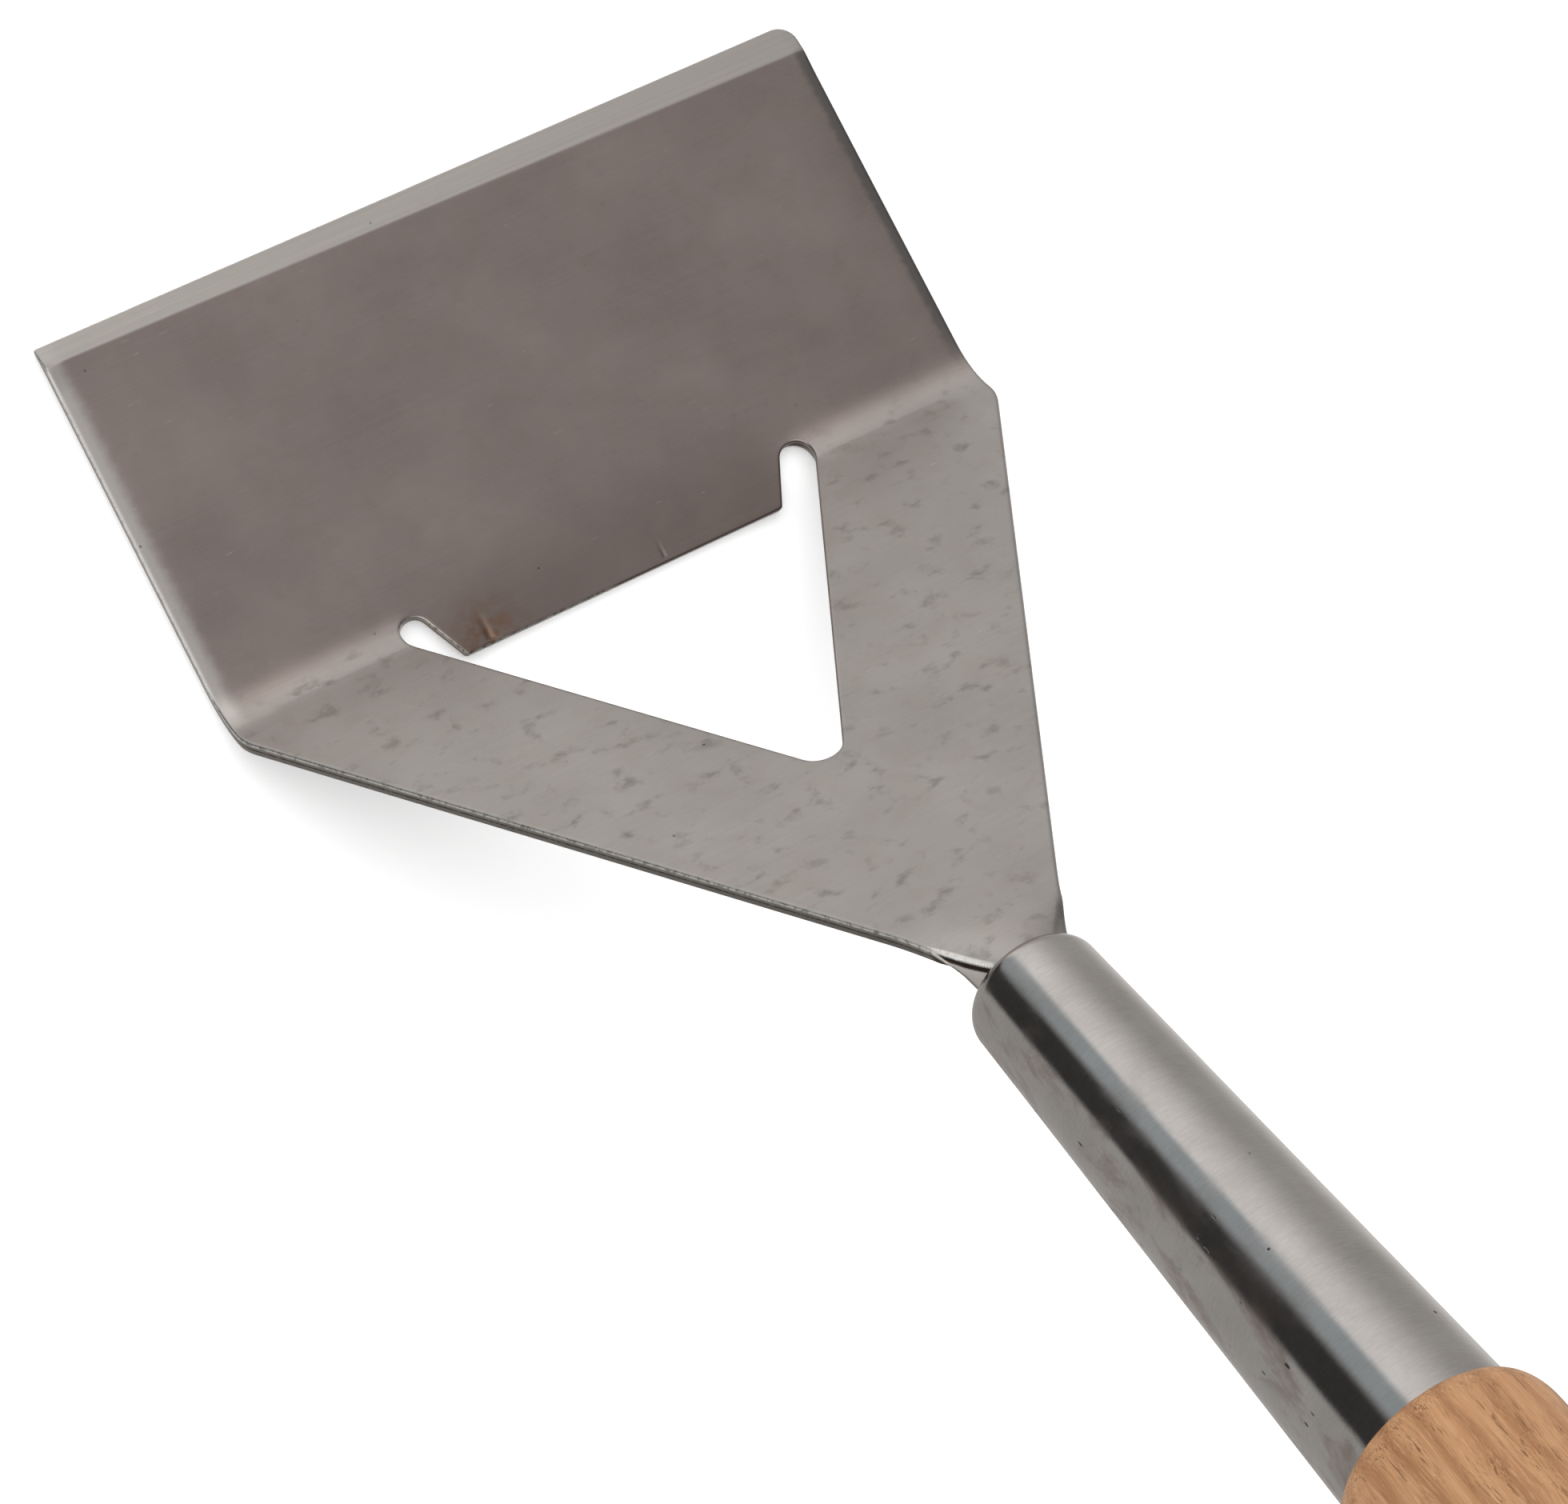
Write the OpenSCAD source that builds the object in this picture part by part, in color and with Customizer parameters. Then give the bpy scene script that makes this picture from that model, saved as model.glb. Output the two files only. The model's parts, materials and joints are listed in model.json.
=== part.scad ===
// Grill spatula: a heavy steel blade whose V-shaped yoke runs up into a tapered ferrule and a wooden grip.
// Origin: middle of the bend line, on the blade's underside. +Y points to the front edge, +Z up.

/* [Blade] */
// Width of the blade across its front edge
blade_w = 127; // [90:1:170]
// Length from the bend line to the front edge
blade_len = 60.7; // [40:0.1:90]
// Thickness of the steel sheet
sheet_t = 2; // [1.2:0.1:3]
// Width of the ground bevel along the front edge
bevel_w = 4.3; // [1:0.1:8]
// Thickness left at the front edge after grinding
front_edge_t = 0.6; // [0.3:0.1:1]
// Radius of the front corner on the +X side
front_corner_r = 3; // [1:0.1:8]

/* [Yoke] */
// Rise of the yoke above the blade's plane, in degrees
bend_angle = 46; // [20:0.5:60]
// Radius of the bend on its upper, hollow side
bend_r = 11; // [6:0.5:12]
// Half-width of the yoke's outer edges where they would cross the bend line
yoke_half_w = 67.2; // [65:0.1:70]
// How much each outer edge closes in for every millimetre of yoke
yoke_taper = 0.508; // [0.45:0.001:0.52]
// Distance along the yoke from the bend line to the neck's kink
yoke_len = 115.8; // [110:0.1:118]
// Radius of the yoke's shoulders
shoulder_r = 9; // [4:0.5:12]

/* [Cut-out and tab] */
// Half-width of the triangular cut-out at the bend line
window_half_w = 35.6; // [30:0.1:38]
// How much each side of the cut-out closes in for every millimetre of yoke
window_taper = 0.491; // [0.45:0.001:0.55]
// Radius of the cut-out's rear corner
window_apex_r = 3.4; // [2:0.1:6]
// Radius of the slot ends beside the tab
slot_r = 2.4; // [2:0.1:2.8]
// Distance of each slot end's centre from the middle
slot_x = 32.1; // [31.5:0.1:32.5]
// How far the flat tab reaches behind the bend line
tab_len = 6.8; // [3:0.1:10]
// Half-width of the tab at its rear edge
tab_half_w = 26.7; // [20:0.1:28]

/* [Neck and rod] */
// Rise of the handle above the blade's plane, in degrees
handle_angle = 37.5; // [30:0.5:44]
// Half-width of the curved tang, measured round its curve
tang_half_w = 6.2; // [5:0.1:7]
// Length of the curved tang inside the ferrule
tang_len = 26; // [15:1:40]
// Distance from the neck's kink to the ferrule's mouth
mouth_gap = 4.3; // [4:0.1:8]
// Diameter of the rod that the tang is welded to
rod_d = 10; // [8:0.5:10.5]
// Diameter of the rod's threaded rear end
thread_d = 8; // [6:0.5:8]

/* [Ferrule] */
// Diameter of the ferrule at its nose
nose_d = 19.2; // [18:0.1:22]
// Diameter of the ferrule where it meets the grip
ferrule_d = 25.4; // [24:0.1:28]
// Length of the ferrule
ferrule_len = 91.9; // [70:0.5:120]
// Wall thickness of the ferrule
ferrule_t = 1.2; // [0.8:0.1:1.5]
// Diameter of the ferrule's mouth
mouth_d = 14.8; // [14.8:0.1:15.4]

/* [Grip] */
// Length of the grip behind the ferrule
grip_len = 117; // [100:1:140]
// Length of the spigot inside the ferrule
spigot_len = 30; // [20:1:40]
// Length and rise of the grip's rounded front shoulder
grip_shoulder = [5.5, 2.8]; // [1:0.1:8]
// Diameter at the middle of the grip
grip_mid_d = 33.2; // [31:0.1:36]
// Diameter at the waist near the butt
grip_waist_d = 29.2; // [27:0.1:31]
// Diameter of the butt
grip_butt_d = 31.2; // [30:0.1:34]

/* [Hanging eye] */
// Diameter of the hole in the hanging eye
eye_hole_d = 12; // [8:0.5:14]
// Outer diameter of the hanging eye
eye_d = 21; // [18:0.5:24]
// Thickness of the hanging eye
eye_t = 5; // [4:0.5:6]

/* [Hidden] */
$fn = 96;

past = 20; // how far a cutter runs past the sheet on each side
lean = bend_angle - handle_angle; // angle of the neck's kink

// Bend: both tangent points lie this far from the bend line
bend_reach = bend_r * tan(bend_angle / 2);
bend_steps = 14; // flats round the bend

// Yoke outline: the sides stay parallel until the tapering edges meet them
half_w = blade_w / 2;
shoulder_s = (yoke_half_w - half_w) / yoke_taper;
taper_angle = atan(yoke_taper);
shoulder_reach = shoulder_r * tan(taper_angle / 2);
shoulder_start = 6; // the shoulder's arc leaves the straight side at this small angle, in degrees

// Cut-out: its rear corner is an arc that touches both sides
window_angle = atan(window_taper);
apex_s = (window_half_w - window_apex_r / cos(window_angle)) / window_taper;
slot_y = -slot_r / 3; // centre of the slot ends, just behind the bend line
window_start = 4; // distance behind the bend line from which the sides run straight

// Neck: a short flat stretch in line with the handle, over the curved tang
tang_r = rod_d / 2 + 0.1; // inside of the curved tang, 0.1 mm clear of the rod
tang_mid_r = tang_r + sheet_t / 2;
tang_out_r = tang_r + sheet_t;
tang_angle = tang_half_w / tang_mid_r * 180 / PI;
neck_cover = 0.2; // the flat neck's top lies this far above the tang's crown
neck_clear = 0.3; // the flat neck stops this far short of the ferrule

// Handle: the ferrule's axis runs just over one tang radius under the neck's top line
kink = [0, -yoke_len * cos(bend_angle), sheet_t + yoke_len * sin(bend_angle)];
mouth = kink + mouth_gap * [0, -cos(handle_angle), sin(handle_angle)]
    - (tang_out_r + neck_cover) * [0, sin(handle_angle), cos(handle_angle)];

// Ferrule and grip
nose_r = nose_d / 2;
ferrule_r = ferrule_d / 2;
mouth_r = mouth_d / 2;
lip_r = nose_r - mouth_r; // radius of the rolled-in nose
arc_steps = 10;
fit_gap = 0.1; // radial clearance of the spigot, the rod and the washer
rod_start = 3; // the rod's front end sits this far inside the mouth
rod_chamfer = 1.5;
weld_r = 1.6;
weld_start = 6;
weld_len = 16;
butt_round = 6;
washer_t = 2;
washer_r = 9;
washer_recess = 3;
collar_r = 6.5;
collar_len = 6;
thread_in_eye = 5;
eye_chamfer = 0.6;
butt_end = ferrule_len + grip_len;
washer_seat = butt_end - washer_recess;
collar_start = washer_seat + washer_t;
eye_centre = collar_start + collar_len + eye_hole_d / 2 + 1;

// Frame of the yoke: x across, y forward along the sheet, z out of its top face
module yoke_frame() {
    translate([0, 0, sheet_t]) rotate([-bend_angle, 0, 0]) children();
}

// Frame of the handle: z along the axis from the ferrule's mouth, y up
module handle_frame() {
    translate(mouth) rotate([90 - handle_angle, 0, 0]) children();
}

// Points of an arc about a centre, from one angle to another
function arc(centre, r, from, to, steps = arc_steps) =
    [for (i = [0 : steps]) let (a = from + (to - from) * i / steps) centre + r * [cos(a), sin(a)]];

function smooth(x) = let (c = min(1, max(0, x))) c * c * (3 - 2 * c);

// Direction along a line that rises backwards at an angle, and the normal out of its top
function back(angle) = [-cos(angle), sin(angle)];
function up(angle) = [sin(angle), cos(angle)];

// Side view of the bent sheet: flat blade with its bevel, bend, flat yoke and short neck
module sheet_profile() {
    bend_centre = [bend_reach, sheet_t + bend_r];
    kink_top = [0, sheet_t] + yoke_len * back(bend_angle);
    neck_end = kink_top + (mouth_gap - neck_clear) * back(handle_angle);
    mitre = sheet_t * (up(bend_angle) + up(handle_angle)) / (1 + cos(lean));
    polygon(concat(
        [[blade_len, 0]],
        arc(bend_centre, bend_r + sheet_t, 270, 270 - bend_angle, bend_steps),
        [kink_top - mitre, neck_end - sheet_t * up(handle_angle), neck_end, kink_top],
        arc(bend_centre, bend_r, 270 - bend_angle, 270, bend_steps),
        [[blade_len - bevel_w, sheet_t], [blade_len, front_edge_t]]));
}

// Everything outside one tapering edge of the yoke, with the rounded shoulder
module outside_yoke() {
    centre = [half_w - shoulder_r, shoulder_reach - shoulder_s];
    end_s = yoke_len + past;
    edge = arc(centre, shoulder_r, -shoulder_start, -taper_angle);
    lead_in = edge[0] + past * [sin(shoulder_start), cos(shoulder_start)];
    polygon(concat([lead_in], edge, [[yoke_half_w - yoke_taper * end_s, -end_s],
        [half_w + past, -end_s], [half_w + past, lead_in[1]]]));
}

// The triangular opening behind the slots, in the plane of the yoke
module window_outline() {
    start_w = window_half_w - window_taper * window_start;
    polygon(concat(
        [[-slot_x, 0], [-slot_x, -slot_r / 2], [-start_w, -window_start]],
        arc([0, -apex_s], window_apex_r, 180 + window_angle, 360 - window_angle),
        [[start_w, -window_start], [slot_x, -slot_r / 2], [slot_x, 0]]));
}

// The flat tab left standing in the blade's plane between the slots
module tab_outline() {
    difference() {
        polygon([[-tab_half_w, -tab_len], [tab_half_w, -tab_len], [slot_x - slot_r, slot_y],
            [slot_x, slot_y], [slot_x, bend_reach], [-slot_x, bend_reach],
            [-slot_x, slot_y], [slot_r - slot_x, slot_y]]);
        for (side = [-1, 1]) translate([side * slot_x, slot_y]) circle(slot_r);
    }
}

// The corner that is ground off beside the front edge
module front_corner_cut() {
    translate([half_w - front_corner_r, blade_len - front_corner_r]) difference() {
        square(front_corner_r + 1);
        circle(front_corner_r);
    }
}

// A sector of a round tube, centred on the upper side of the handle's axis
module arched_strip(inner_r, outer_r, half_angle, len) {
    rotate(90 - half_angle) rotate_extrude(angle = 2 * half_angle)
        translate([inner_r, 0]) square([outer_r - inner_r, len]);
}

// Blade, yoke, neck and tang: one bent and curled sheet
module blade() {
    color([0.47, 0.44, 0.42]) union() {
        difference() {
            translate([-half_w, 0, 0]) rotate([90, 0, 90]) linear_extrude(blade_w) sheet_profile();
            yoke_frame() for (side = [0, 1]) mirror([side, 0, 0])
                translate([0, 0, -past]) linear_extrude(2 * past) outside_yoke();
            yoke_frame() translate([0, 0, -past]) linear_extrude(2 * past) window_outline();
            translate([-slot_x, -window_start, -past])
                cube([2 * slot_x, window_start + bend_reach, 2 * past]);
            for (side = [-1, 1]) translate([side * slot_x, slot_y, -past]) cylinder(r = slot_r, h = 2 * past);
            translate([0, 0, -past]) linear_extrude(2 * past) front_corner_cut();
        }
        linear_extrude(sheet_t) tab_outline();
        handle_frame() translate([0, 0, -mouth_gap])
            arched_strip(tang_r, tang_out_r, tang_angle, mouth_gap + tang_len);
    }
}

// Round rod, welded under the tang, that draws the whole handle together
module tang_rod() {
    color([0.55, 0.55, 0.56]) handle_frame() rotate_extrude() polygon([
        [0, rod_start],
        [rod_d / 2 - rod_chamfer, rod_start],
        [rod_d / 2, rod_start + rod_chamfer],
        [rod_d / 2, washer_seat - 1],
        [thread_d / 2, washer_seat - 1],
        [thread_d / 2, collar_start + thread_in_eye],
        [0, collar_start + thread_in_eye]]);
}

// One weld bead along each edge of the tang, filling the corner beside the rod
module tang_welds() {
    color([0.42, 0.4, 0.38]) handle_frame() for (side = [0, 1]) mirror([side, 0, 0]) difference() {
        rotate(90 - tang_angle) translate([tang_r, 0, weld_start]) cylinder(r = weld_r, h = weld_len);
        cylinder(r = rod_d / 2, h = 2 * weld_start + weld_len);
        arched_strip(rod_d / 4, 2 * tang_out_r, tang_angle, 2 * weld_start + weld_len);
    }
}

// Tapered steel tube with its nose rolled in round the neck
module ferrule() {
    lip = [mouth_r, lip_r];
    color([0.6, 0.59, 0.58]) handle_frame() rotate_extrude() polygon(concat(
        arc(lip, lip_r, -90, 0),
        [[ferrule_r, ferrule_len], [ferrule_r - ferrule_t, ferrule_len]],
        arc(lip, lip_r - ferrule_t, 0, -90)));
}

// Radius inside the ferrule at a distance u from its mouth
function ferrule_in_r(u) =
    nose_r - ferrule_t + (ferrule_r - nose_r) * (u - lip_r) / (ferrule_len - lip_r);

// Radius of the grip at a distance v behind the ferrule
shoulder_end_r = ferrule_r + grip_shoulder[1];
grip_stations = [
    [grip_shoulder[0], shoulder_end_r],
    [grip_len * 0.42, grip_mid_d / 2],
    [grip_len * 0.8, grip_waist_d / 2],
    [grip_len - butt_round, grip_butt_d / 2]];
grip_steps = 12;
function grip_r(a, b, f) = a[1] + (b[1] - a[1]) * smooth(f);

// Turned wooden grip: spigot, rounded shoulder, swelling, waist and butt
module grip() {
    spigot_start = ferrule_len - spigot_len;
    rise = [for (i = [0 : arc_steps]) let (a = 90 * i / arc_steps)
        [ferrule_r + grip_shoulder[1] * sin(a), ferrule_len + grip_shoulder[0] * (1 - cos(a))]];
    barrel = [for (k = [0 : len(grip_stations) - 2]) for (i = [1 : grip_steps])
        let (a = grip_stations[k], b = grip_stations[k + 1], f = i / grip_steps)
        [grip_r(a, b, f), ferrule_len + a[0] + (b[0] - a[0]) * f]];
    butt = arc([grip_butt_d / 2 - butt_round, butt_end - butt_round], butt_round, 0, 90);
    bore_r = rod_d / 2 + fit_gap;
    recess_r = washer_r + fit_gap;
    color([0.76, 0.57, 0.39]) handle_frame() rotate_extrude() polygon(concat(
        [[bore_r, spigot_start], [ferrule_in_r(spigot_start) - fit_gap, spigot_start],
            [ferrule_in_r(ferrule_len) - fit_gap, ferrule_len]],
        rise, barrel, butt,
        [[recess_r, butt_end], [recess_r, washer_seat], [bore_r, washer_seat]]));
}

// Steel washer let into the butt
module end_washer() {
    color([0.62, 0.62, 0.63]) handle_frame() translate([0, 0, washer_seat]) difference() {
        cylinder(r = washer_r, h = washer_t);
        translate([0, 0, -1]) cylinder(r = thread_d / 2 + fit_gap, h = washer_t + 2);
    }
}

// Profile of the eye's ring, turned about the hole, with eased edges
module eye_ring_profile() {
    hole_r = eye_hole_d / 2;
    outer_r = eye_d / 2;
    half_t = eye_t / 2;
    c = eye_chamfer;
    polygon([[hole_r, -half_t], [outer_r - c, -half_t], [outer_r, c - half_t],
        [outer_r, half_t - c], [outer_r - c, half_t], [hole_r, half_t]]);
}

// Eye nut on the rod's threaded end: it clamps the grip and hangs the tool on a hook
module hanging_eye() {
    hole_r = eye_hole_d / 2;
    color([0.62, 0.62, 0.63]) handle_frame() difference() {
        union() {
            translate([0, 0, collar_start]) cylinder(r = collar_r, h = collar_len);
            translate([0, 0, eye_centre]) rotate([90, 0, 0]) rotate_extrude() eye_ring_profile();
        }
        translate([0, 0, eye_centre]) rotate([90, 0, 0]) cylinder(r = hole_r, h = 2 * collar_r, center = true);
        translate([0, 0, collar_start - 1]) cylinder(r = thread_d / 2 + 0.05, h = thread_in_eye + 1);
    }
}

blade();
tang_rod();
tang_welds();
ferrule();
grip();
end_washer();
hanging_eye();
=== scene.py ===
"""Looks of the grill spatula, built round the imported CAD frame.

Lengths are in millimetres until make_object() turns them into metres. The sheet is drawn flat first, as a
pattern of x (across) and w (along, forward of the bend line), and every point of the pattern is then placed on
the bent sheet.
"""

import json
import math

import bmesh
import bpy
import numpy as np
from mathutils import Matrix, Vector, geometry


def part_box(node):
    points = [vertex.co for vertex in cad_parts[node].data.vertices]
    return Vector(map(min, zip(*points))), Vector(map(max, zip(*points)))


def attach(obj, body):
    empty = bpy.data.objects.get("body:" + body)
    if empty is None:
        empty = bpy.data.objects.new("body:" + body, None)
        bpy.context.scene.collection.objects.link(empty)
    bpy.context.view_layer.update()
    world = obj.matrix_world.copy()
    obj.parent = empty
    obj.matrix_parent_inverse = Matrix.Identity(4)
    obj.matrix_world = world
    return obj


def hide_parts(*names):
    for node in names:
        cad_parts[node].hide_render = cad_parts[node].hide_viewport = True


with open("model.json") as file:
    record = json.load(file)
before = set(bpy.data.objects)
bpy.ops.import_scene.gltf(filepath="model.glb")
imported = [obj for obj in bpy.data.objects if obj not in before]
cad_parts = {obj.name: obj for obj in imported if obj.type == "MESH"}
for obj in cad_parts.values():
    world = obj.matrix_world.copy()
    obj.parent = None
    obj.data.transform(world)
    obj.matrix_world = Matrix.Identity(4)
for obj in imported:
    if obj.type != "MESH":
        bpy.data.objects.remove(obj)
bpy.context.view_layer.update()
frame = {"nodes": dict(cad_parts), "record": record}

MM = 0.001

# Sheet
BLADE_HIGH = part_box("blade")[1] / MM
HALF_W = BLADE_HIGH.x
FRONT = BLADE_HIGH.y
SHEET_T = 2.0
FRONT_EDGE_T = 0.6
BEVEL_W_LEFT, BEVEL_W_RIGHT = 3.5, 5.1
FRONT_CORNER_R = (0.35, 3.0)  # left, right
BEND_ANGLE = math.radians(46)
BEND_R = 11.0
BEND_REACH = BEND_R * math.tan(BEND_ANGLE / 2)
YOKE_HALF_W, YOKE_TAPER = 67.2, 0.508
YOKE_LEN = 115.8
SHOULDER_R = 9.0
WINDOW_HALF_W, WINDOW_TAPER = 35.6, 0.491
WINDOW_APEX_R = 3.4
SLOT_X, SLOT_R, SLOT_Y = 32.1, 2.4, -0.8
TAB_LEN, TAB_HALF_W = 6.8, 26.7
TANG_HALF_W = 6.2
TANG_MID_R = 6.1
TANG_LEN = 26.0
MOUTH_GAP = 4.3
MOUTH_S = YOKE_LEN + MOUTH_GAP
TANG_END_S = MOUTH_S + TANG_LEN
KINK_EASE = 3.0

# Neck: gently arched on top, with a flank folded down along each side
NECK_HALF_W = 7.85
NECK_DROP = 0.6  # the neck's top lies this far under the tang's at the mouth
ARCH_R = 12.4
ARCH_START_S = 106.0
FOLD_X, FOLD_SLOPE = 3.9, 0.778  # where each fold crosses the mouth, and how fast the folds part ahead of it
FOLD_W, FOLD_TURN = 0.65, 0.654
FOLD_SPAN_S = (111.0, 117.5)
FOLD_GROOVE = 0.22
FORM_SPAN = (0.3, 3.5)  # behind the mouth the neck's section turns into the tang's over this stretch

# Handle: its frame comes from the hanging eye's mount, whose axis is the way up out of the handle
EYE = next(m for m in frame["record"]["mounts"] if m["name"] == "hanging_eye")
HANDLE_UP = Vector(EYE["axis"])
HANDLE_ALONG = Vector((1, 0, 0)).cross(HANDLE_UP)
HANDLE_ANGLE = math.atan2(HANDLE_ALONG.z, -HANDLE_ALONG.y)


def mesh_points(node):
    """Points of a CAD node, in metres."""
    return [v.co for v in frame["nodes"][node].data.vertices]


MOUTH = Vector(EYE["pos_m"]) + HANDLE_ALONG * min(
    (p - Vector(EYE["pos_m"])).dot(HANDLE_ALONG) for p in mesh_points("ferrule")
)
HANDLE_AXES = Matrix((Vector((1, 0, 0)), HANDLE_UP, HANDLE_ALONG)).transposed().to_4x4()
HANDLE = Matrix.Translation(MOUTH) @ HANDLE_AXES


def handle_span(node):
    """First and last place of a CAD node along the handle, and its largest radius, in millimetres."""
    local = [HANDLE.inverted() @ p / MM for p in mesh_points(node)]
    along = [p.z for p in local]
    return min(along), max(along), max(math.hypot(p.x, p.y) for p in local)


# ---------------------------------------------------------------- meshes


def smoothstep(value, low, high):
    """0 under low, 1 over high, smooth between them."""
    c = np.clip((np.asarray(value, float) - low) / (high - low), 0.0, 1.0)
    return c * c * (3 - 2 * c)


def make_object(name, points, faces):
    """A smooth mesh object from points in millimetres, all its faces turned outwards."""
    data = bpy.data.meshes.new(name)
    data.from_pydata([tuple(float(c) * MM for c in p) for p in points], [], faces)
    bm = bmesh.new()
    bm.from_mesh(data)
    bmesh.ops.recalc_face_normals(bm, faces=bm.faces)
    bm.to_mesh(data)
    bm.free()
    data.polygons.foreach_set("use_smooth", [True] * len(data.polygons))
    obj = bpy.data.objects.new(name, data)
    bpy.context.scene.collection.objects.link(obj)
    return obj


def keep_places(obj, places):
    """Stores where each point lies on its own piece, in millimetres, for the materials to follow."""
    attribute = obj.data.attributes.new("place", "FLOAT_VECTOR", "POINT")
    attribute.data.foreach_set("vector", np.asarray(places, np.float32).ravel())


def weighted_normals(obj):
    """Lets the large faces set the shading, so that flats stay flat beside small rounded edges."""
    modifier = obj.modifiers.new("weighted_normals", "WEIGHTED_NORMAL")
    modifier.keep_sharp = True
    modifier.weight = 50


def rounded_loop(corners, step):
    """Points of a closed loop through rounded (x, w, radius) corners, its straights cut into steps."""
    count = len(corners)
    places = [np.array(c[:2], float) for c in corners]
    arcs = []
    for i, (x, w, radius) in enumerate(corners):
        here = places[i]
        to_last = places[i - 1] - here
        to_next = places[(i + 1) % count] - here
        to_last /= np.linalg.norm(to_last)
        to_next /= np.linalg.norm(to_next)
        half = math.acos(np.clip(to_last @ to_next, -1, 1)) / 2
        reach = radius / math.tan(half)
        bisector = (to_last + to_next) / np.linalg.norm(to_last + to_next)
        centre = here + bisector * radius / math.sin(half)
        first, last = here + to_last * reach - centre, here + to_next * reach - centre
        turn = math.pi - 2 * half
        pieces = max(4, math.ceil(turn * radius / step), math.ceil(math.degrees(turn) / 10))
        sign = 1 if first[0] * last[1] - first[1] * last[0] > 0 else -1
        arc = []
        for k in range(pieces + 1):
            a = sign * turn * k / pieces
            arc.append(
                centre
                + np.array(
                    (
                        first[0] * math.cos(a) - first[1] * math.sin(a),
                        first[0] * math.sin(a) + first[1] * math.cos(a),
                    )
                )
            )
        arcs.append(arc)
    loop = []
    for i, arc in enumerate(arcs):
        loop.extend(arc)
        start, end = arc[-1], arcs[(i + 1) % count][0]
        pieces = math.ceil(np.linalg.norm(end - start) / step)
        loop.extend(start + (end - start) * k / pieces for k in range(1, pieces))
    return np.array(loop)


def loop_normals(loop):
    """Unit normals on the right-hand side of a closed loop's direction."""
    along = np.roll(loop, -1, axis=0) - np.roll(loop, 1, axis=0)
    along /= np.linalg.norm(along, axis=1)[:, None]
    return np.stack([along[:, 1], -along[:, 0]], axis=1)


def sheet_loops():
    """The pattern's outer edge and its opening. Both run with the steel on their left."""
    step = 0.8
    shoulder_s = (YOKE_HALF_W - HALF_W) / YOKE_TAPER
    neck_s = (YOKE_HALF_W - NECK_HALF_W) / YOKE_TAPER
    inner_s = MOUTH_S + FORM_SPAN[1]
    outer = rounded_loop(
        [
            (HALF_W, FRONT, FRONT_CORNER_R[1]),
            (-HALF_W, FRONT, FRONT_CORNER_R[0]),
            (-HALF_W, -shoulder_s, SHOULDER_R),
            (-NECK_HALF_W, -neck_s, 6.0),
            (-NECK_HALF_W, -MOUTH_S - 0.8, 1.0),
            (-TANG_HALF_W, -inner_s, 1.0),
            (-TANG_HALF_W, -TANG_END_S, 0.8),
            (TANG_HALF_W, -TANG_END_S, 0.8),
            (TANG_HALF_W, -inner_s, 1.0),
            (NECK_HALF_W, -MOUTH_S - 0.8, 1.0),
            (NECK_HALF_W, -neck_s, 6.0),
            (HALF_W, -shoulder_s, SHOULDER_R),
        ],
        step,
    )
    slot_out, slot_end = SLOT_X + SLOT_R, SLOT_Y + SLOT_R
    to_slot = Vector((SLOT_X - TAB_HALF_W, SLOT_Y + TAB_LEN))
    rise = math.atan2(to_slot.y, to_slot.x) + math.asin(SLOT_R / to_slot.length)
    lead = TAB_HALF_W + (slot_end + TAB_LEN) / math.tan(rise)
    side = [
        (TAB_HALF_W, -TAB_LEN, 0.8),
        (lead, slot_end, SLOT_R - 0.02),
        (slot_out, slot_end, SLOT_R - 0.02),
        (slot_out, -(WINDOW_HALF_W - slot_out) / WINDOW_TAPER, 4.5),
    ]
    apex = (0.0, -WINDOW_HALF_W / WINDOW_TAPER, WINDOW_APEX_R)
    opening = rounded_loop(side + [apex] + [(-x, w, r) for x, w, r in reversed(side)], 0.8)
    return outer, opening


def inside(points, loop):
    """Even-odd test of many points against a closed loop."""
    x, y = points[:, 0][:, None], points[:, 1][:, None]
    x0, y0 = loop[:, 0][None], loop[:, 1][None]
    x1, y1 = np.roll(loop[:, 0], -1)[None], np.roll(loop[:, 1], -1)[None]
    with np.errstate(divide="ignore", invalid="ignore"):
        crossing = ((y0 > y) != (y1 > y)) & (x < (x1 - x0) * (y - y0) / (y1 - y0) + x0)
    return crossing.sum(1) % 2 == 1


def distance(points, loop):
    """Distance of many points from the nearest segment of a closed loop."""
    start, along = loop, np.roll(loop, -1, axis=0) - loop
    length2 = (along**2).sum(1)
    best = np.full(len(points), np.inf)
    for first in range(0, len(points), 500):
        p = points[first : first + 500][:, None]
        share = np.clip(((p - start) * along).sum(2) / length2, 0, 1)
        gap = p - (start + share[:, :, None] * along)
        best[first : first + 500] = np.sqrt((gap**2).sum(2).min(1))
    return best


# ---------------------------------------------------------------- the sheet's shape


def bevel_start(x):
    """Where the ground bevel begins: it was ground wider towards the right."""
    share = (x + HALF_W) / (2 * HALF_W)
    return FRONT - (BEVEL_W_LEFT + (BEVEL_W_RIGHT - BEVEL_W_LEFT) * share)


EDGE_BAND = 5.0  # the side edges of the blade fall away over this width
EDGE_FALL = 0.22


def top_drop(x, w):
    """How far the top face lies under the sheet's full thickness: bevel and worn side edges."""
    start = bevel_start(x)
    bevel = np.clip((w - start) / (FRONT - start), 0, 1) * (SHEET_T - FRONT_EDGE_T)
    into_band = np.clip((np.abs(x) - (HALF_W - EDGE_BAND)) / EDGE_BAND, 0, 1)
    wear_and_highlight = EDGE_FALL * into_band**2 * smoothstep(w, -6, 6) * (1 - smoothstep(w, FRONT - 9, FRONT - 5))
    return bevel + wear_and_highlight


CREASES = (  # x, depth, width, where it starts behind the bend line
    (-22.4, 0.22, 0.45, -0.5),
    (6.9, 0.12, 0.22, -2.0),
)


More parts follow.
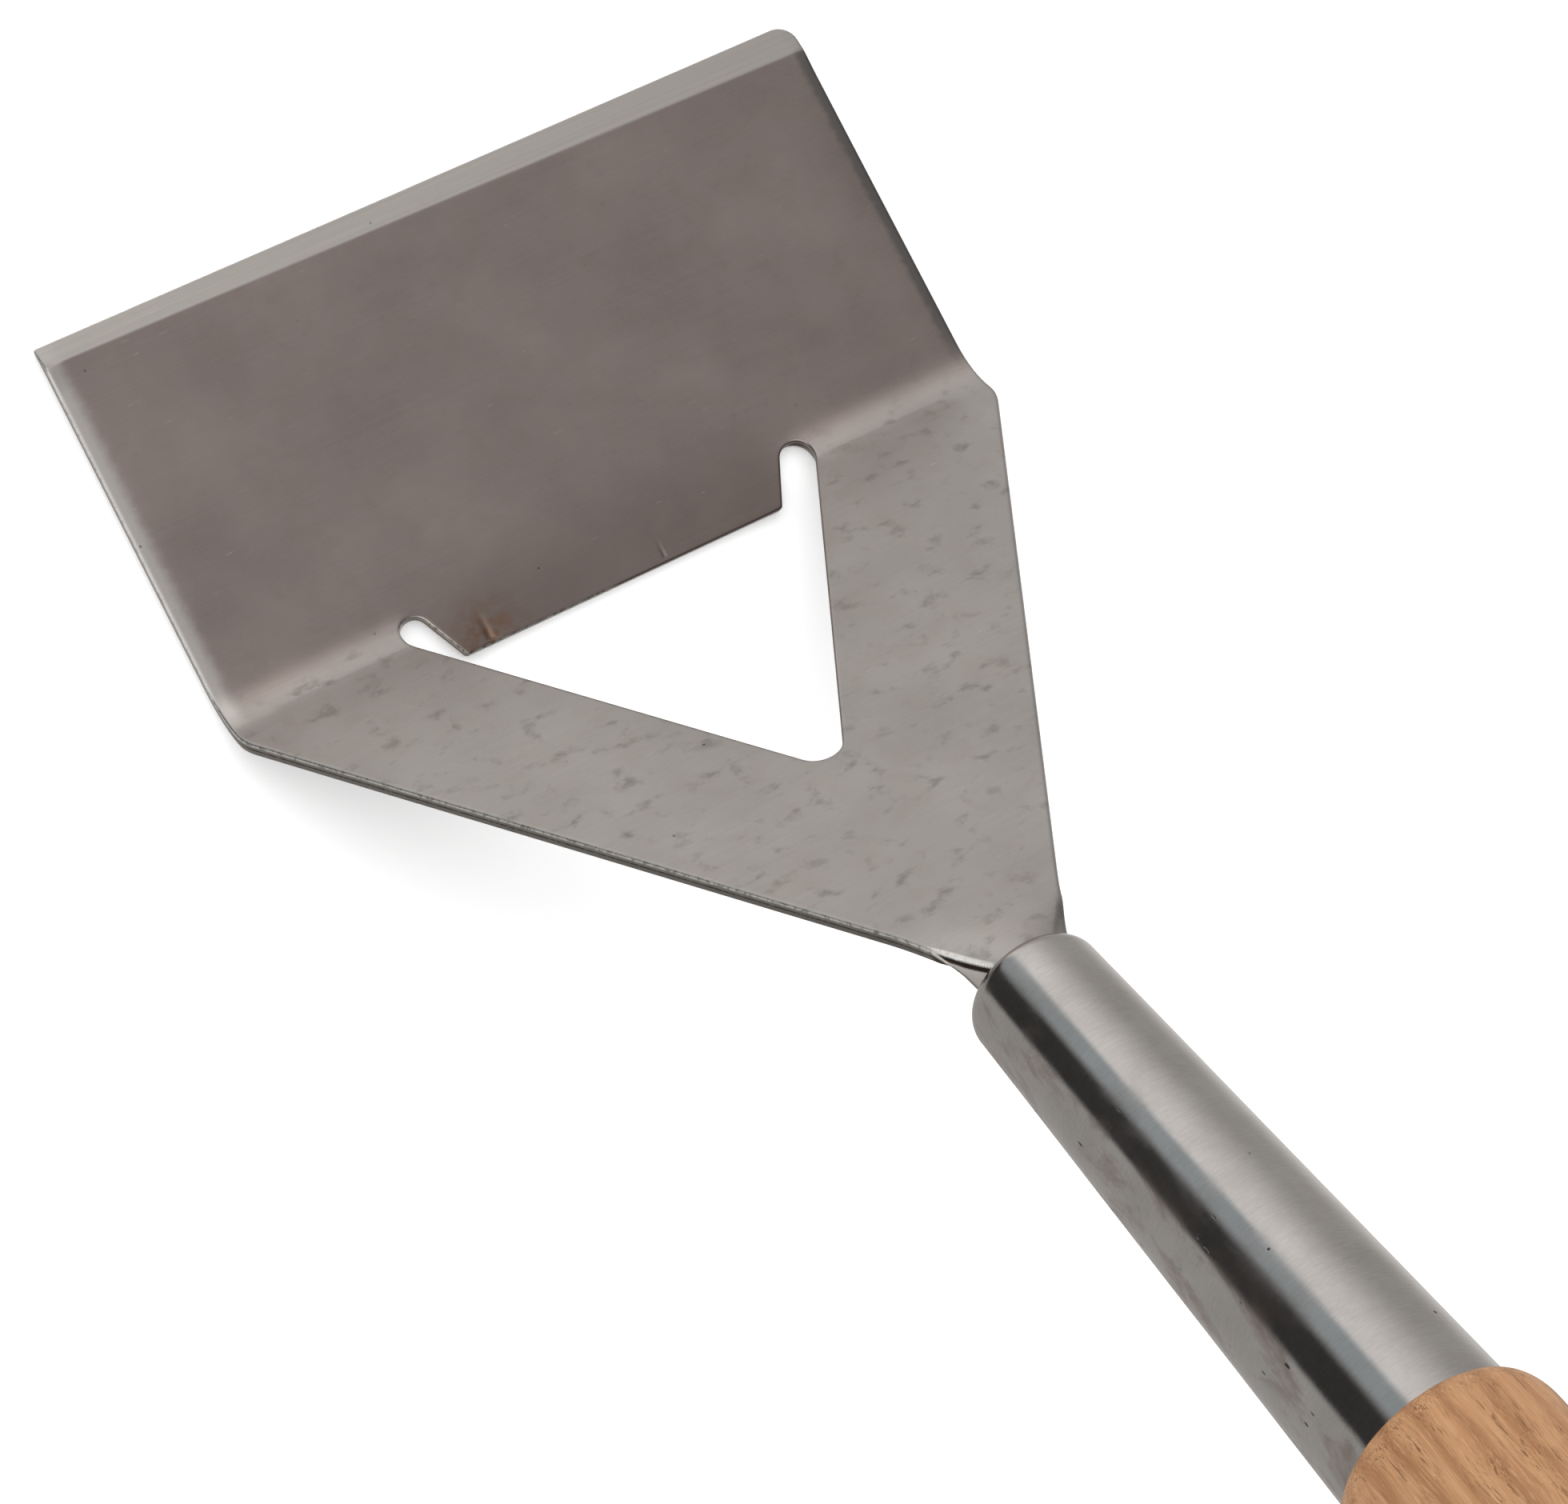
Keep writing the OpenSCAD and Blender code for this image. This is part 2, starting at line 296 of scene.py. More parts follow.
def fold_line(s):
    """How far from the middle each fold starts, from the sheet's edge in to its place at the mouth."""
    return FOLD_X + FOLD_SLOPE * np.maximum(MOUTH_S - s, 0)


def relief(x, w):
    """Small rises and falls of the whole sheet: the tab's creases, the neck's fold and a slight waviness."""
    on_tab = (w < 0.5) & (w > -TAB_LEN - 1) & (np.abs(x) < SLOT_X - SLOT_R + 1)
    lift = 0.03 * np.sin(x / 13 + 0.7) * np.sin(w / 17 + 1.1) + 0.015 * np.sin(x / 5.3 + w / 7.1)
    lift = lift * (1 - smoothstep(-w, 95, 106))
    for at, depth, width, start in CREASES:
        groove = np.exp(-(((x - at) / width) ** 2)) * smoothstep(-w, -start, TAB_LEN)
        lift = lift - np.where(on_tab, depth * groove, 0)
    past_fold = np.abs(x) - fold_line(-w)
    on_neck = smoothstep(-w, FOLD_SPAN_S[0], FOLD_SPAN_S[0] + 4) * (1 - smoothstep(-w, MOUTH_S, MOUTH_S + 1))
    lift = lift - FOLD_GROOVE * np.exp(-(((past_fold - 0.45) / 0.2) ** 2)) * on_neck * (x < 0)
    corner = np.clip(CREASES[0][0] - x, 0, None) * smoothstep(-w, 0, TAB_LEN)
    return lift + np.where(on_tab, 0.05 * corner, 0)


def formed(s):
    """0 ahead of the mouth, 1 where the sheet has the tang's section."""
    return smoothstep(s, MOUTH_S + FORM_SPAN[0], MOUTH_S + FORM_SPAN[1])


def side_view(s):
    """Top line of the bent sheet at s behind the bend line: its (y, z), and the (y, z) of its way out."""
    back = lambda angle: np.array([-math.cos(angle), math.sin(angle)])
    kink = np.array([0, SHEET_T]) + YOKE_LEN * back(BEND_ANGLE)
    phi = np.clip((s + BEND_REACH) / (2 * BEND_REACH), 0, 1) * BEND_ANGLE
    blade = np.stack([-s, np.full_like(s, SHEET_T)], 1)
    bend = np.stack([BEND_REACH - BEND_R * np.sin(phi), SHEET_T + BEND_R - BEND_R * np.cos(phi)], 1)
    yoke = np.array([0, SHEET_T]) + s[:, None] * back(BEND_ANGLE)
    neck = kink + (s - YOKE_LEN)[:, None] * back(HANDLE_ANGLE)
    u = np.clip((s - YOKE_LEN + KINK_EASE) / (2 * KINK_EASE), 0, 1)[:, None]
    eased = (
        (1 - u) ** 2 * (kink - KINK_EASE * back(BEND_ANGLE))
        + 2 * u * (1 - u) * kink
        + u**2 * (kink + KINK_EASE * back(HANDLE_ANGLE))
    )
    place = np.where(s[:, None] < -BEND_REACH, blade, bend)
    place = np.where(s[:, None] > BEND_REACH, yoke, place)
    place = np.where(s[:, None] > YOKE_LEN - KINK_EASE, eased, place)
    place = np.where(s[:, None] > YOKE_LEN + KINK_EASE, neck, place)
    angle = phi + (HANDLE_ANGLE - BEND_ANGLE) * u[:, 0]
    out = np.stack([np.sin(angle), np.cos(angle)], 1)
    settle = NECK_DROP * smoothstep(s, YOKE_LEN - 4, MOUTH_S) * (1 - formed(s))
    return place - settle[:, None] * out, out


def section(x, s):
    """The sheet's middle layer across the neck: (across, up) from its crown, and its turn from level."""
    form = formed(s)
    bow = np.clip((s - ARCH_START_S) / (MOUTH_S - ARCH_START_S), 0, 1) ** 2.6 / ARCH_R
    bow = np.maximum(bow + (1 / TANG_MID_R - bow) * form, 1e-9)
    start = fold_line(s) + TANG_HALF_W * form
    tight = np.maximum(FOLD_TURN * smoothstep(s, *FOLD_SPAN_S) * (1 - form) / FOLD_W, 1e-9)
    reach = np.abs(x)
    arch, fold = np.minimum(reach, start), np.clip(reach - start, 0, FOLD_W)
    flank = np.maximum(reach - start - FOLD_W, 0)
    first, last = bow * arch, bow * arch + tight * fold
    across = np.sin(first) / bow + (np.sin(last) - np.sin(first)) / tight + flank * np.cos(last)
    up = (np.cos(first) - 1) / bow + (np.cos(last) - np.cos(first)) / tight - flank * np.sin(last)
    return np.sign(x) * across, up, np.sign(x) * last


def on_sheet(x, w, depth):
    """Places pattern points at a depth under the sheet's top face, as points in the frame."""
    s = -w
    line, out = side_view(s)
    height = SHEET_T / 2 - depth + relief(x, w)
    across, up, turn = section(x, s)
    across = across + height * np.sin(turn)
    up = up + height * np.cos(turn) - SHEET_T / 2
    bent = np.stack([across, line[:, 0] + up * out[:, 0], line[:, 1] + up * out[:, 1]], 1)
    flat = np.stack([x, w, SHEET_T - depth + relief(x, w)], 1)
    far = SLOT_X + SLOT_R - 2.5 * smoothstep(SLOT_Y - w, 0, 3.2)
    near = SLOT_X - SLOT_R
    share = smoothstep((np.abs(x) - near) / (far - near), 0, 1)
    share = np.where(w < -TAB_LEN - 0.5, 1.0, share)
    share = np.where(w > BEND_REACH, 0.0, share)
    return flat + share[:, None] * (bent - flat)


EDGE_R = 0.4
SUPPORT = 0.3


def rim_profile():
    """The sheet's cut edge from the top face to the bottom one, as (distance inside the outline, depth)."""
    steps = 4
    top = [(EDGE_R + SUPPORT, 0.0)]
    top += [
        (EDGE_R * (1 - math.sin(a)), EDGE_R * (1 - math.cos(a)))
        for a in (math.pi / 2 * k / steps for k in range(steps + 1))
    ]
    shear = [(0.0, 0.85), (0.1, 0.98), (0.08, 1.15), (0.05, 1.5)]
    low_r = 0.25
    bottom = [
        (0.05 + low_r * (1 - math.cos(a)), SHEET_T - low_r * (1 - math.sin(a)))
        for a in (math.pi / 2 * k / 3 for k in range(4))
    ]
    return top + shear + bottom + [(EDGE_R + SUPPORT, SHEET_T)]


def interior_points(loops, margin):
    """Points of the pattern inside its edges, close together where the sheet bends, folds or is creased."""
    zones = (  # x from, x to, w from, w to, x step, w step
        (-HALF_W, HALF_W, BEND_REACH + 1, FRONT - 6.5, 2.5, 2.5),
        (-HALF_W, HALF_W, -BEND_REACH - 1, BEND_REACH + 1, 2.2, 0.7),
        (-HALF_W, HALF_W, -104, -BEND_REACH - 1, 2.5, 2.5),
        (-15, 15, -TANG_END_S, -104, 0.9, 0.9),
        (-11.5, 11.5, -MOUTH_S - FORM_SPAN[1], -109.5, 0.6, 0.6),
        (HALF_W - EDGE_BAND - 1, HALF_W, -6, FRONT - 6.5, 0.8, 1.6),
        (-HALF_W, EDGE_BAND + 1 - HALF_W, -6, FRONT - 6.5, 0.8, 1.6),
        (-SLOT_X, SLOT_X, -TAB_LEN, 0.5, 1.1, 0.7),
        (-25.5, -20, -TAB_LEN, 0.5, 0.3, 0.5),
        (6, 7.8, -TAB_LEN, -1.5, 0.2, 0.5),
    )
    taken = set()
    rows = []
    for x0, x1, w0, w1, dx, dw in reversed(zones):
        xs = np.linspace(x0, x1, max(2, round((x1 - x0) / dx) + 1))
        ws = np.linspace(w0, w1, max(2, round((w1 - w0) / dw) + 1))
        grid = np.array([(x, w) for w in ws for x in xs])
        cell = 0.8 * min(dx, dw)
        fresh = []
        for p in grid:
            if not any(a <= p[0] <= b and c <= p[1] <= d for a, b, c, d in taken):
                fresh.append(p)
        taken.add((x0 - cell, x1 + cell, w0 - cell, w1 + cell))
        rows.append(np.array(fresh))
    across = np.linspace(-HALF_W, HALF_W, 64)
    for offset in (-0.9, -0.3, 0.0, 0.3, 1.6):
        rows.append(np.stack([across, bevel_start(across) + offset], 1))
    points = np.concatenate([r for r in rows if len(r)])
    offset = np.abs(points[:, 0]) - fold_line(-points[:, 1])
    span = (-points[:, 1] > FOLD_SPAN_S[0] - 1) & (-points[:, 1] < MOUTH_S + 1)
    points = points[~(span & (offset > -0.45) & (offset < FOLD_W + 0.45))]
    behind = np.arange(FOLD_SPAN_S[0] - 0.8, MOUTH_S + 0.8, 0.35)
    for offset in np.linspace(-0.2, 1.2, 8) * FOLD_W:
        for side in (-1, 1):
            points = np.concatenate([points, np.stack([side * (fold_line(behind) + offset), -behind], 1)])
    keep = inside(points, loops[0]) & ~inside(points, loops[1])
    points = points[keep]
    return points[(distance(points, loops[0]) > margin) & (distance(points, loops[1]) > margin)]


def build_sheet():
    """Blade, yoke, arched neck and tang as one closed sheet with softened, sheared edges."""
    loops = sheet_loops()
    profile = rim_profile()
    rings = []  # for each ring of the rim: pattern places and depths, both loops one after the other
    outlines = np.concatenate(loops)
    normals = np.concatenate([loop_normals(loop) for loop in loops])
    thickness = SHEET_T - top_drop(outlines[:, 0], outlines[:, 1])
    scale = thickness / SHEET_T
    for inset, depth in profile:
        flat = outlines - normals * (inset * np.minimum(1, scale * 1.2))[:, None]
        drop = top_drop(flat[:, 0], flat[:, 1])
        rings.append((flat, drop + depth * (SHEET_T - drop) / SHEET_T))
    inner = rings[0][0]
    filling = interior_points(loops, EDGE_R + SUPPORT + 0.25)
    flat = np.concatenate([inner, filling])
    count = len(inner)
    first = len(loops[0])
    ends = [(0, first), (first, count)]
    edges = [(a + i, a + (i + 1) % (b - a)) for a, b in ends for i in range(b - a)]
    made = geometry.delaunay_2d_cdt([Vector(p) for p in flat], edges, [], 0, 1e-6)
    if len(made[0]) != len(flat):
        raise RuntimeError("the pattern's edges cross")
    source = [made[3][i][0] for i in range(len(flat))]
    triangles = np.array([[source[i] for i in f] for f in made[2]])
    centres = flat[triangles].mean(1)
    keep = inside(centres, inner[:first]) & ~inside(centres, inner[first:])
    triangles = triangles[keep]
    a, b, c = (flat[triangles[:, k]] for k in range(3))
    area = (b[:, 0] - a[:, 0]) * (c[:, 1] - a[:, 1]) - (b[:, 1] - a[:, 1]) * (c[:, 0] - a[:, 0])
    triangles[area < 0] = triangles[area < 0][:, ::-1]

    pattern = np.concatenate([ring for ring, _ in rings] + [filling, filling])
    low = np.full(len(filling), SHEET_T)
    depth = np.concatenate([ring_depth for _, ring_depth in rings] + [top_drop(*filling.T), low])
    cut_depth = np.concatenate([np.full(count, d) for _, d in profile] + [np.zeros(len(filling)), low])
    placed = on_sheet(pattern[:, 0], pattern[:, 1], depth)

    last = (len(rings) - 1) * count
    fill_top = len(rings) * count
    fill_low = fill_top + len(filling)
    top_index = np.concatenate([np.arange(count), fill_top + np.arange(len(filling))])
    low_index = np.concatenate([last + np.arange(count), fill_low + np.arange(len(filling))])
    faces = [tuple(int(top_index[i]) for i in t) for t in triangles]
    faces += [tuple(int(low_index[i]) for i in t[::-1]) for t in triangles]
    for k in range(len(rings) - 1):
        upper, lower = k * count, (k + 1) * count
        for i, j in edges:
            faces.append((upper + i, lower + i, lower + j, upper + j))
    sheet = make_object("blade_sheet", placed, faces)
    keep_places(sheet, np.column_stack([pattern, cut_depth]))
    weighted_normals(sheet)
    return sheet


def lathe(name, profile, segments, wobble):
    """Turns a closed outline of (radius, along) round the handle's axis, slightly uneven by wobble."""
    turned = []
    for radius, along in profile:
        for k in range(segments):
            a = 2 * math.pi * k / segments
            uneven = wobble * (math.sin(3 * a + along / 21) + 0.6 * math.sin(5 * a - along / 9 + 1))
            turned.append(((radius + uneven) * math.cos(a), (radius + uneven) * math.sin(a), along))
    rows = len(profile)
    faces = []
    for i in range(rows):
        for k in range(segments):
            j, n = (i + 1) % rows, (k + 1) % segments
            faces.append((i * segments + k, i * segments + n, j * segments + n, j * segments + k))
    obj = make_object(name, [HANDLE @ (Vector(p) * MM) / MM for p in turned], faces)
    keep_places(obj, turned)
    weighted_normals(obj)
    return obj


def arc_points(centre, radius, start, end, steps):
    """(radius, along) points of an arc given in degrees, with radii (across, along) if the arc is an oval."""
    rx, ry = radius if isinstance(radius, tuple) else (radius, radius)
    return [
        (centre[0] + rx * math.cos(a), centre[1] + ry * math.sin(a))
        for a in (math.radians(start + (end - start) * k / steps) for k in range(steps + 1))
    ]


def spaced(a, b, steps):
    """Points between two profile points, ends left out."""
    return [(a[0] + (b[0] - a[0]) * k / steps, a[1] + (b[1] - a[1]) * k / steps) for k in range(1, steps)]


NOSE_R, MOUTH_R, FERRULE_T = 9.6, 7.4, 1.2
LIP_LEN = 2.6


def build_ferrule():
    """Tapered tube with its nose rolled in, and an eased edge at the wood."""
    _, length, end_r = handle_span("ferrule")
    lip_r = NOSE_R - MOUTH_R
    lip = arc_points((MOUTH_R, LIP_LEN), (lip_r, LIP_LEN), -90, 0, 14)
    ease = 0.25
    tail = arc_points((end_r - ease, length - ease), ease, 0, 90, 3)
    inner_end = (end_r - FERRULE_T, length)
    inner_start = (NOSE_R - FERRULE_T, LIP_LEN)
    inner_lip = arc_points((MOUTH_R, LIP_LEN), (lip_r - FERRULE_T, LIP_LEN - FERRULE_T), 0, -90, 8)
    profile = lip + spaced(lip[-1], tail[0], 60) + tail
    profile += [inner_end] + spaced(inner_end, inner_start, 12) + inner_lip
    return lathe("ferrule_tube", profile, 192, 0.018)


GRIP_SHOULDER = (5.5, 2.8)
GRIP_STATIONS = ((0.42, 16.6), (0.8, 14.6))
GRIP_BUTT_R, BUTT_ROUND = 15.6, 6.0
WASHER_R, WASHER_RECESS = 9.1, 3.0
BORE_R = 5.1
SPIGOT_LEN = 30.0


def build_grip():
    """Turned grip with its rounded front shoulder, swelling, waist, butt and spigot."""
    start = handle_span("ferrule")[1]
    end = handle_span("grip")[1]
    seam_r = handle_span("ferrule")[2]
    length = end - start
    shoulder = [
        (seam_r + GRIP_SHOULDER[1] * math.sin(a), start + GRIP_SHOULDER[0] * (1 - math.cos(a)))
        for a in (math.pi / 2 * k / 16 for k in range(17))
    ]
    stations = [(GRIP_SHOULDER[0], shoulder[-1][0])]
    stations += [(share * length, radius) for share, radius in GRIP_STATIONS]
    stations += [(length - BUTT_ROUND, GRIP_BUTT_R)]
    barrel = []
    for (z0, r0), (z1, r1) in zip(stations, stations[1:]):
        steps = max(4, round((z1 - z0) / 2))
        for k in range(1, steps + 1):
            f = k / steps
            barrel.append((r0 + (r1 - r0) * f * f * (3 - 2 * f), start + z0 + (z1 - z0) * f))
    butt = arc_points((GRIP_BUTT_R - BUTT_ROUND, end - BUTT_ROUND), BUTT_ROUND, 0, 90, 10)[1:]
    ease = 0.4
    recess = arc_points((WASHER_R + ease, end - ease), ease, 90, 180, 3)
    floor = end - WASHER_RECESS
    recess += [(WASHER_R, floor), (BORE_R, floor), (BORE_R, start - SPIGOT_LEN)]
    slope = (seam_r - NOSE_R) / start
    spigot_r = seam_r - FERRULE_T - 0.1
    recess += [(spigot_r - slope * SPIGOT_LEN, start - SPIGOT_LEN), (spigot_r, start - 0.01)]
    return lathe("wood_grip", shoulder + barrel + butt + recess, 144, 0.03)


EYE_HOLE_R, EYE_R, EYE_T = 6.0, 10.5, 5.0
COLLAR_R, COLLAR_LEN = 6.5, 6.0


def build_eye():
    """Eye nut: a rounded ring that flows into its collar."""
    start = handle_span("hanging_eye")[0]
    centre = (HANDLE.inverted() @ Vector(EYE["pos_m"])).z / MM
    bm = bmesh.new()
    mid, tube = (EYE_HOLE_R + EYE_R) / 2, (EYE_R - EYE_HOLE_R) / 2
    around, across = 72, 20
    ring = []
    for i in range(around):
        a = 2 * math.pi * i / around
        row = []
        for k in range(across):
            b = 2 * math.pi * k / across
            flat = lambda v: math.copysign(abs(v) ** 0.55, v)
            r, h = mid + tube * flat(math.cos(b)), EYE_T / 2 * flat(math.sin(b))
            row.append(bm.verts.new((r * math.cos(a) * MM, h * MM, (centre + r * math.sin(a)) * MM)))
        ring.append(row)
    for i in range(around):
        for k in range(across):
            n, m = (i + 1) % around, (k + 1) % across
            bm.faces.new((ring[i][k], ring[i][m], ring[n][m], ring[n][k]))
    top = start + COLLAR_LEN
    collar = [(0.0, start), (COLLAR_R - 0.5, start), (COLLAR_R, start + 0.5), (COLLAR_R, top - 0.6)]
    collar += [(COLLAR_R - 1.4, top + 0.6), (EYE_T / 2, top + 1.6)]
    rows = []
    for r, z in collar[1:]:
        rows.append(
            [
                bm.verts.new((r * math.cos(a) * MM, r * math.sin(a) * MM, z * MM))
                for a in (2 * math.pi * k / 48 for k in range(48))
            ]
        )
    for lower, upper in zip(rows, rows[1:]):
        for k in range(48):
            n = (k + 1) % 48
            bm.faces.new((lower[k], lower[n], upper[n], upper[k]))
    bm.faces.new(list(reversed(rows[0])))
    bm.faces.new(rows[-1])
    bmesh.ops.recalc_face_normals(bm, faces=bm.faces)
    data = bpy.data.meshes.new("eye_nut")
    bm.transform(HANDLE)
    bm.to_mesh(data)
    bm.free()
    eye = bpy.data.objects.new("eye_nut", data)
    bpy.context.scene.collection.objects.link(eye)
    remesh = eye.modifiers.new("join", "REMESH")
    remesh.mode = "VOXEL"
    remesh.voxel_size = 0.4 * MM
    remesh.use_smooth_shade = True
    soften = eye.modifiers.new("soften", "SMOOTH")
    soften.factor = 0.5
    soften.iterations = 6
    return eye


# ---------------------------------------------------------------- materials


class Nodes:
    """A node tree that is built by calls. A value may be a number, a colour or another node's output."""

    def __init__(self, tree):
        self.tree = tree
        tree.nodes.clear()

    def add(self, kind, inputs=None, output=0, **settings):
        node = self.tree.nodes.new(kind)
        for key, value in settings.items():
            setattr(node, key, value)
        for key, value in (inputs or {}).items():
            socket = node.inputs[key]
            if isinstance(value, bpy.types.NodeSocket):
                self.tree.links.new(value, socket)
            else:
                socket.default_value = value
        return node.outputs[output]

    def math(self, operation, a, b=0.0):
        return self.add("ShaderNodeMath", {0: a, 1: b}, operation=operation)

    def times(self, a, b):
        return self.math("MULTIPLY", a, b)

    def plus(self, a, b):
        return self.math("ADD", a, b)

    def minus(self, a, b):
        return self.math("SUBTRACT", a, b)

    def most(self, a, b):
        return self.math("MAXIMUM", a, b)

    def stretch(self, vector, scale, turn=(0, 0, 0), shift=(0, 0, 0)):
        inputs = {"Vector": vector, "Scale": scale, "Rotation": turn, "Location": shift}
        return self.add("ShaderNodeMapping", inputs)

    def noise(self, vector, scale, detail=3.0, roughness=0.5, distortion=0.0):
        inputs = {
            "Vector": vector,
            "Scale": scale,
            "Detail": detail,
            "Roughness": roughness,
            "Distortion": distortion,
        }
        return self.add("ShaderNodeTexNoise", inputs)

    def cells(self, vector, scale, randomness=1.0):
        inputs = {"Vector": vector, "Scale": scale, "Randomness": randomness}
        return self.add("ShaderNodeTexVoronoi", inputs)

    def ramp(self, value, stops):
        """Colours or greys at places from 0 to 1."""
        node = self.tree.nodes.new("ShaderNodeValToRGB")
        self.tree.links.new(value, node.inputs[0])
        elements = node.color_ramp.elements
        while len(elements) < len(stops):
            elements.new(0.5)
        for element, (place, colour) in zip(elements, stops):
            element.position = place
            element.color = (colour, colour, colour, 1) if isinstance(colour, (int, float)) else (*colour, 1)
        return node.outputs[0]

    def scale(self, colour, factor):
        return self.add("ShaderNodeVectorMath", {0: colour, "Scale": factor}, operation="SCALE")

    def between(self, value, low, high):
        """0 under low, 1 over high, smooth between them."""
        inputs = {"Value": value, "From Min": low, "From Max": high, "To Min": 0.0, "To Max": 1.0}
        return self.add("ShaderNodeMapRange", inputs, interpolation_type="SMOOTHSTEP")

    def mix(self, share, a, b, blend="MIX"):
        node = self.tree.nodes.new("ShaderNodeMix")
        node.data_type = "RGBA"
        node.blend_type = blend
        for socket, value in ((node.inputs["Factor"], share), (node.inputs[6], a), (node.inputs[7], b)):
            if isinstance(value, bpy.types.NodeSocket):
                self.tree.links.new(value, socket)
            elif isinstance(value, (int, float)):
                socket.default_value = value
            else:
                socket.default_value = (*value, 1)
        return node.outputs[2]

    def bump(self, height, distance, strength=1.0, normal=None):
        inputs = {"Height": height, "Distance": distance, "Strength": strength}
        if normal is not None:
            inputs["Normal"] = normal
        return self.add("ShaderNodeBump", inputs)

    def surface(self, **inputs):
        shader = self.add("ShaderNodeBsdfPrincipled", {k.replace("_", " "): v for k, v in inputs.items()})
        self.add_output("ShaderNodeOutputMaterial", shader)

    def add_output(self, kind, shader):
        node = self.tree.nodes.new(kind)
        self.tree.links.new(shader, node.inputs["Surface"])


def new_material(name):
    material = bpy.data.materials.new(name)
    material.use_nodes = True
    return material, Nodes(material.node_tree)


def kept_place(n):
    """Where a point lies on its own piece, as keep_places() stored it."""
    return n.add("ShaderNodeAttribute", output=1, attribute_name="place", attribute_type="GEOMETRY")


def object_mm(n):
    """The frame's coordinates, in millimetres."""
    place = n.add("ShaderNodeTexCoord", output=3)
    return n.add("ShaderNodeVectorMath", {0: place, "Scale": 1 / MM}, operation="SCALE")


def spot(n, place, centre, reach):
    """1 at a point of the pattern, falling to 0 at reach from it."""
    gap = n.add("ShaderNodeVectorMath", {0: place, 1: centre}, output=1, operation="DISTANCE")
    return n.between(gap, reach, 0.0)


def sheet_steel():
    """Satin sheet: warm heat tint on the blade, greyer blotched yoke, pits, scratches and a sheared edge, with
    painted highlights and painted dark reflections on the blade's side edges, the cut edge and the neck's
    fold.
    """
    material, n = new_material("sheet_steel")
    place = kept_place(n)
    split = n.tree.nodes.new("ShaderNodeSeparateXYZ")
    n.tree.links.new(place, split.inputs[0])
    across, along, depth = split.outputs[0], split.outputs[1], split.outputs[2]
    off_middle = n.math("ABSOLUTE", across)

    clouds = n.noise(place, 0.045, 4, 0.55)
    past_bend = n.between(n.plus(along, n.times(clouds, 6.0)), -1.0, 7.0)
    on_tab = n.times(n.between(off_middle, SLOT_X, SLOT_X - 3), n.between(along, -TAB_LEN - 1, -TAB_LEN))
    on_blade = n.most(past_bend, on_tab)
    blade = n.ramp(clouds, [(0.3, (0.415, 0.353, 0.34)), (0.7, (0.5, 0.43, 0.412))])
    yoke = n.ramp(clouds, [(0.3, (0.412, 0.4, 0.388)), (0.7, (0.495, 0.478, 0.466))])
    colour = n.mix(on_blade, yoke, blade)
    # Darker across the middle of the blade near the bend line, over the tab
    darker_near_bend = n.times(n.between(along, 12.0, -5.0), n.between(off_middle, SLOT_X + 4, SLOT_X - 8))
    colour = n.mix(n.times(n.times(darker_near_bend, on_blade), 0.45), colour, (0.22, 0.17, 0.155))

    # Soft smudges and dark blotches, mostly behind the bend
    smudge = n.noise(n.stretch(place, (0.75, 0.9, 0.5)), 0.3, 5, 0.6, 0.2)
    blotch = n.times(n.between(smudge, 0.53, 0.74), n.ramp(on_blade, [(0.0, 0.5), (1.0, 0.12)]))
    colour = n.mix(blotch, colour, (0.2, 0.175, 0.16))
    veil = n.between(n.noise(place, 0.16, 4, 0.6, 0.6), 0.45, 0.75)
    colour = n.mix(n.times(veil, 0.3), colour, (0.42, 0.35, 0.32))

    # Rolling lines across the sheet
    lines = n.noise(n.stretch(place, (0.02, 2.6, 1.0)), 1.0, 4, 0.7)
    colour = n.mix(0.12, colour, n.ramp(lines, [(0.3, 0.35), (0.7, 0.65)]), "OVERLAY")

    # Heat colours on the tab's left end and inside the slots
    heat = n.math(
        "MULTIPLY",
        spot(n, place, (-22.5, -5.5, 0.3), 8.0),
        n.between(n.noise(place, 0.6, 3, 0.6), 0.3, 0.65),
    )
    colour = n.mix(n.times(heat, 0.7), colour, (0.32, 0.16, 0.075))
    cut = n.between(depth, 0.12, 0.5)
    in_slot = n.add(
        "ShaderNodeMath",
        {0: spot(n, place, (-SLOT_X + 2, -2.0, 1.0), 8.0), 1: spot(n, place, (SLOT_X, -1.0, 1.0), 4.0)},
        operation="MAXIMUM",
    )
    colour = n.mix(n.times(n.times(cut, in_slot), 0.8), colour, (0.34, 0.22, 0.13))

    # The blade's left edge is worn and carries a painted highlight, its right edge a painted dark reflection;
    # the bevel is freshly ground
    wander = n.times(n.minus(n.noise(place, 0.5, 4, 0.6), 0.5), 1.6)
    on_edge = n.plus(across, wander)
    level = n.between(along, -7.0, 3.0)
    # Painted highlight over real wear along the blade's left edge
    wear_and_highlight = n.times(n.between(on_edge, 3.6 - HALF_W, 1.2 - HALF_W), level)
    colour = n.mix(n.times(wear_and_highlight, 0.85), colour, (0.74, 0.715, 0.7))
    # Painted dark reflection along the blade's right edge
    painted_dark_edge = n.times(n.between(on_edge, HALF_W - 2.4, HALF_W - 1.1), n.between(along, -2.0, 12.0))
    colour = n.mix(n.times(painted_dark_edge, 0.8), colour, (0.22, 0.22, 0.22))
    lean = (BEVEL_W_RIGHT - BEVEL_W_LEFT) / (2 * HALF_W)
    into_bevel = n.plus(along, n.times(across, lean))
    bevel_from = FRONT - (BEVEL_W_LEFT + BEVEL_W_RIGHT) / 2
    ground = n.between(into_bevel, bevel_from - 0.15, bevel_from + 0.2)
    strokes = n.noise(n.stretch(place, (0.025, 1.9, 1.0)), 1.0, 4, 0.65)
    bare = n.ramp(strokes, [(0.3, (0.45, 0.44, 0.43)), (0.7, (0.52, 0.505, 0.49))])
    colour = n.mix(n.times(ground, 0.85), colour, bare)
